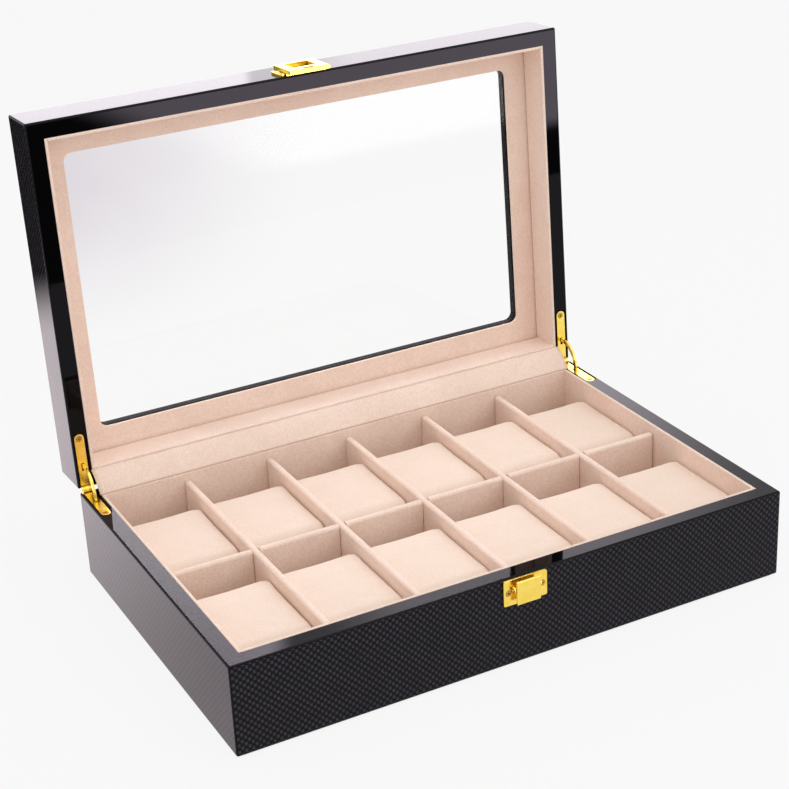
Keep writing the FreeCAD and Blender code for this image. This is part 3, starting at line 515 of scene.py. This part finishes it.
def swollen_pillow(size):
    """The pillow about the origin, filled by simulation and held inside its space."""
    piece = blank_pillow(size)
    remesh = piece.modifiers.new("even_mesh", "REMESH")
    remesh.mode = "VOXEL"
    remesh.voxel_size = PILLOW_VOXEL
    apply_modifiers(piece)
    rest = np.array([vertex.co for vertex in piece.data.vertices])
    fill_by_cloth(piece)
    moved = np.array([vertex.co for vertex in piece.data.vertices]) - rest
    reach = np.linalg.norm(moved, axis=1, keepdims=True)
    moved *= np.minimum(1.0, PILLOW_CAP / np.maximum(reach, 1e-9))
    points = rest + moved
    # Crowned: the top sinks towards its edges
    half = np.array(size) / 2
    share = np.clip(points / half, -1, 1)
    middle = np.cos(share[:, 0] * math.pi / 2) * np.cos(share[:, 1] * math.pi / 2)
    sunk = np.clip(share[:, 2], 0, 1) ** 4 * PILLOW_CROWN * (1 - middle)
    points = np.clip(points, -half, half)
    points[:, 2] -= sunk
    # Rolled down and drawn in at the front end
    ahead = np.clip((PILLOW_NOSE - half[1] - points[:, 1]) / PILLOW_NOSE, 0, 1)
    roll = 1 - np.sqrt(1 - ahead ** 2)
    points[:, 2] -= (points[:, 2] + half[2]) * roll * PILLOW_NOSE / size.z
    points[:, 0] *= 1 - roll * PILLOW_PULL / half[0]
    for vertex, point in zip(piece.data.vertices, points):
        vertex.co = point
    return piece


def dent(mesh, number, half):
    """Small dents of a pillow's own, kept inside its space."""
    offset = Vector((0.0, 0.0, DENT_STEP * number))
    normals = [vertex.normal.copy() for vertex in mesh.vertices]
    for vertex, normal in zip(mesh.vertices, normals):
        depth = sum(noise.noise(vertex.co * scale + offset) * deep for scale, deep in DENTS)
        vertex.co += normal * depth
        for axis in range(3):
            vertex.co[axis] = max(-half[axis], min(half[axis], vertex.co[axis]))


def make_pillows(suede):
    """One filled pillow for each bay, each with its own small dents."""
    short = Vector((0, PILLOW_SHORT, 0))
    low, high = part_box(PILLOWS[0])
    master = swollen_pillow(high - low - short)
    for number, node in enumerate(PILLOWS):
        low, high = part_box(node)
        low = low + short
        mesh = master.data.copy()
        mesh.name = node + "_cover"
        dent(mesh, number, (high - low) / 2)
        shade_smooth(mesh)
        cover = new_object(node + "_cover", mesh)
        cover.location = (low + high) / 2
        cover.location.y -= PILLOW_AHEAD.get(node, 0.0)
        smooth = cover.modifiers.new("smooth", "SUBSURF")
        smooth.levels = 1
        smooth.render_levels = 1
        wear(cover, suede)
        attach(cover, node)
        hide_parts(node)
    bpy.data.objects.remove(master)


# Velvet strip behind the hinge line

FLAP_THICK = 0.5 * MM
FLAP_LAP = 1.3 * MM
FLAP_TUCK = 0.6 * MM
FLAP_BOW = 1.2 * MM
FLAP_COLUMNS = 120
FLAP_ROWS = 14
# Ripple: its scale along the strip, its step from row to row and its depth
RIPPLE_ALONG = 25.0
RIPPLE_ROW = 0.2
RIPPLE_DEEP = 0.15 * MM


def make_flap(lining):
    """A bowed strip from the rim of the base's rear liner to that of the lid's."""
    low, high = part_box("hinge_flap")
    axis = Vector(joints["lid_hinge"]["pos_m"])
    axis.x = 0
    _, liner_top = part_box("base_liner_back")
    start = Vector((0, liner_top.y - FLAP_LAP, liner_top.z + FLAP_THICK / 2))
    shut = Vector((0, liner_top.y - FLAP_TUCK, 2 * axis.z - start.z)) - axis
    end = axis + Matrix.Rotation(-LID_OPEN, 3, "X") @ shut
    chord = end - start
    inward = Vector((0, -chord.z, chord.y)).normalized()
    strip = bmesh.new()
    grid = []
    for row in range(FLAP_ROWS + 1):
        share = row / FLAP_ROWS
        bow = 4 * share * (1 - share)
        place = start + chord * share + inward * (FLAP_BOW * bow)
        line = []
        for column in range(FLAP_COLUMNS + 1):
            x = low.x + column / FLAP_COLUMNS * (high.x - low.x)
            wave = noise.noise(Vector((x * RIPPLE_ALONG, row * RIPPLE_ROW, 0.0)))
            point = place + inward * (wave * RIPPLE_DEEP * bow)
            line.append(strip.verts.new((x, point.y, point.z)))
        grid.append(line)
    for first, second in zip(grid, grid[1:]):
        for left in range(FLAP_COLUMNS):
            right = left + 1
            strip.faces.new((first[left], first[right], second[right], second[left]))
    bmesh.ops.recalc_face_normals(strip, faces=strip.faces[:])
    mesh = bpy.data.meshes.new("hinge_strip")
    strip.to_mesh(mesh)
    strip.free()
    shade_smooth(mesh)
    piece = new_object("hinge_strip", mesh)
    cloth = piece.modifiers.new("cloth", "SOLIDIFY")
    cloth.thickness = FLAP_THICK
    cloth.offset = 0.0
    wear(piece, lining)
    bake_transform(piece)
    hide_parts("hinge_flap")


# Torsion spring of the catch

SPRING_WIRE = 0.25 * MM
SPRING_SPREAD = 0.9 * MM
SPRING_TURNS = 3.5
SPRING_STEPS = 140


def make_spring(steel):
    """A coiled wire round the catch's pin, with both legs reaching down."""
    low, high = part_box("catch_spring")
    pin = Vector(joints["catch_press"]["pos_m"])
    radius = (high.y - low.y) / 2 - SPRING_WIRE
    first, last = low.x + SPRING_SPREAD, high.x - SPRING_SPREAD
    path = [Vector((low.x + SPRING_WIRE, pin.y + radius, low.z + SPRING_WIRE))]
    for step in range(SPRING_STEPS + 1):
        share = step / SPRING_STEPS
        turn = 2 * math.pi * SPRING_TURNS * share
        y = pin.y + radius * math.cos(turn)
        z = pin.z + radius * math.sin(turn)
        path.append(Vector((first + (last - first) * share, y, z)))
    path.append(Vector((high.x - SPRING_WIRE, pin.y - radius, low.z + SPRING_WIRE)))
    curve = bpy.data.curves.new("spring_path", "CURVE")
    curve.dimensions = "3D"
    curve.bevel_depth = SPRING_WIRE
    curve.bevel_resolution = 4
    curve.use_fill_caps = True
    line = curve.splines.new("POLY")
    line.points.add(len(path) - 1)
    for knot, place in zip(line.points, path):
        knot.co = (*place, 1.0)
    drawn = new_object("spring_path", curve)
    mesh = evaluated_mesh(drawn)
    bpy.data.objects.remove(drawn)
    shade_smooth(mesh)
    wire = new_object("spring_wire", mesh)
    wear(wire, steel)
    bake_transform(wire)
    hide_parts("catch_spring")


# Stage

BACKGROUND = rgb(250, 250, 250)
PAPER = rgb(240, 239, 240)
ROSE = (1.0, 0.90, 0.94, 1.0)
LILAC = (1.0, 0.945, 1.0, 1.0)
FLOOR_SIZE = 12.0
FLOOR_DROP = 0.2 * MM
FLOOR_GLOW = 0.93
# Cards: two lie just over the floor and one stands behind the box
CARD_LIFT = 0.3 * MM
LEFT_CARD_X, LEFT_CARD_Y = (-0.8, -0.1652), (-0.1, 1.6)
FRONT_CARD_X, FRONT_CARD_Y = (-0.6, 1.7), (-1.9, -0.55)
BACK_CARD_X, BACK_CARD_Z = (-0.1, 1.9), (0.15, 1.5)
BACK_CARD_Y = 1.6


def ring(across, up):
    """The corners of a rectangle, in order round it."""
    return [(across[0], up[0]), (across[1], up[0]), (across[1], up[1]), (across[0], up[1])]


def lying(across, deep, z):
    return [(x, y, z) for x, y in ring(across, deep)]


def standing(across, y, up):
    return [(x, y, z) for x, z in ring(across, up)]


def one_face(name, corners):
    mesh = bpy.data.meshes.new(name)
    mesh.from_pydata(corners, [], [(0, 1, 2, 3)])
    return new_object(name, mesh)


def make_floor():
    """Pale paper that looks white and keeps some of the box's shadow."""
    reach = (-FLOOR_SIZE / 2, FLOOR_SIZE / 2)
    floor = one_face("floor", lying(reach, reach, 0))
    floor.location.z = -FLOOR_DROP
    made, graph = material("pale_floor")
    paper = graph.add("ShaderNodeBsdfDiffuse", Color=PAPER)
    glow = graph.add("ShaderNodeEmission", Color=BACKGROUND, Strength=1.0)
    share = graph.times(graph.seen(), FLOOR_GLOW)
    surface(graph, graph.mix_shader(share, paper.outputs[0], glow.outputs[0]))
    wear(floor, made)


def add_card(name, corners, through_glass, tint, shade):
    """A glowing card that only gloss shows, and clear glass where asked."""
    card = one_face(name, corners)
    made, graph = material(name + "_glow")
    place, _ = coordinates(graph)
    strength = shade(graph, *graph.axes(place))
    glow = graph.add("ShaderNodeEmission", Color=tint, Strength=strength)
    surface(graph, glow.outputs[0])
    wear(card, made)
    card.visible_camera = False
    card.visible_diffuse = False
    card.visible_shadow = False
    card.visible_transmission = through_glass


def left_shade(graph, x, y, z):
    """Bright beside the box, dark far behind it."""
    rise = graph.smooth(y, -0.06, 0.34, start=1.05, end=2.55)
    return graph.times(rise, graph.smooth(y, 0.46, 0.60, start=1.0, end=0.01))


def front_shade(graph, x, y, z):
    """Dark on the left, bright on the far right."""
    lit = graph.times(graph.smooth(x, 0.31, 0.42), graph.smooth(y, -0.74, -0.82))
    return graph.plus(graph.times(lit, 7.0), 0.05)


def back_shade(graph, x, y, z):
    """A tall panel behind the box, a softer one to its right and a low band under both."""
    tall = graph.smooth(x, 0.54, 0.59, start=6.4, end=1.2)
    soft = graph.times(
        graph.smooth(x, 0.62, 0.82), graph.smooth(x, 1.15, 1.62, start=1.0, end=0.0))
    soft = graph.times(soft, graph.smooth(z, 0.88, 1.18, start=3.4, end=2.3))
    low = graph.smooth(x, 0.56, 0.58, start=3.7, end=2.4)
    low = graph.plus(low, graph.smooth(x, 0.64, 0.74, start=0.0, end=0.75))
    share = graph.smooth(z, 0.60, 0.70)
    upper = graph.times(graph.plus(tall, soft), share)
    return graph.plus(upper, graph.times(low, graph.math("SUBTRACT", 1.0, share)))


def make_cards():
    """What the lacquer mirrors, as bright and dark as in the photograph."""
    left = lying(LEFT_CARD_X, LEFT_CARD_Y, CARD_LIFT)
    add_card("left_card", left, False, ROSE, left_shade)
    front = lying(FRONT_CARD_X, FRONT_CARD_Y, CARD_LIFT)
    add_card("front_card", front, False, LILAC, front_shade)
    back = standing(BACK_CARD_X, BACK_CARD_Y, BACK_CARD_Z)
    add_card("back_card", back, True, LILAC, back_shade)


# Light

FILL_COLOUR = rgb(255, 252, 250)
FILL_STRENGTH = 0.72
LAMP_AIM = Vector((0, 0, 0.08))
OVERHEAD = {"place": (0.1, -0.2, 1.35), "width": 1.3, "height": 1.1, "radiance": 0.97}
FRONT_FILL = {"place": (1.1, -1.5, 1.0), "width": 1.2, "height": 0.9, "radiance": 1.25}


def make_world():
    """White where it is seen, and a soft even fill."""
    world = bpy.data.worlds.new("studio")
    bpy.context.scene.world = world
    world.use_nodes = True
    graph = Graph(world.node_tree)
    fill = graph.add("ShaderNodeBackground", Color=FILL_COLOUR, Strength=FILL_STRENGTH)
    white = graph.add("ShaderNodeBackground", Color=BACKGROUND, Strength=1.0)
    mixed = graph.mix_shader(graph.seen(), fill.outputs[0], white.outputs[0])
    graph.finish("ShaderNodeOutputWorld", mixed)


def add_softbox(name, place, width, height, radiance):
    """A rectangular lamp of an even brightness, aimed at the box."""
    lamp = bpy.data.lights.new(name, "AREA")
    lamp.shape = "RECTANGLE"
    lamp.size = width
    lamp.size_y = height
    lamp.energy = radiance * math.pi * width * height
    box = new_object(name, lamp)
    box.location = place
    box.rotation_mode = "QUATERNION"
    box.rotation_quaternion = (LAMP_AIM - Vector(place)).to_track_quat("-Z", "Y")
    box.visible_camera = False


# Camera, as the photograph was taken

CAMERA_PLACE = Vector((-432.4, -824.2, 545.2)) * MM
CAMERA_TARGET = Vector((38.5, 106.7, 61.5)) * MM
CAMERA_ROLL = math.radians(-2.88)
CAMERA_VIEW = math.radians(23.64)


def make_camera():
    lens = bpy.data.cameras.new("camera")
    lens.angle = CAMERA_VIEW
    camera = new_object("camera", lens)
    forward = (CAMERA_TARGET - CAMERA_PLACE).normalized()
    level = forward.cross(Vector((0, 0, 1))).normalized()
    upright = level.cross(forward)
    right = level * math.cos(CAMERA_ROLL) + upright * math.sin(CAMERA_ROLL)
    up = right.cross(forward)
    turn = Matrix((right, up, -forward)).transposed()
    camera.matrix_world = Matrix.Translation(CAMERA_PLACE) @ turn.to_4x4()
    bpy.context.scene.camera = camera


bpy.context.scene.view_settings.view_transform = "Standard"
lining_velvet = velvet("lining_velvet", LINING_PALE, LINING_DEEP, LINING_NAP)
dress_nodes(lining_velvet)
make_pillows(velvet("pillow_suede", PILLOW_PALE, PILLOW_DEEP, PILLOW_NAP))
make_flap(lining_velvet)
make_spring(spring_steel("spring_steel"))
make_floor()
make_cards()
make_world()
add_softbox("overhead", **OVERHEAD)
add_softbox("front_fill", **FRONT_FILL)
make_camera()
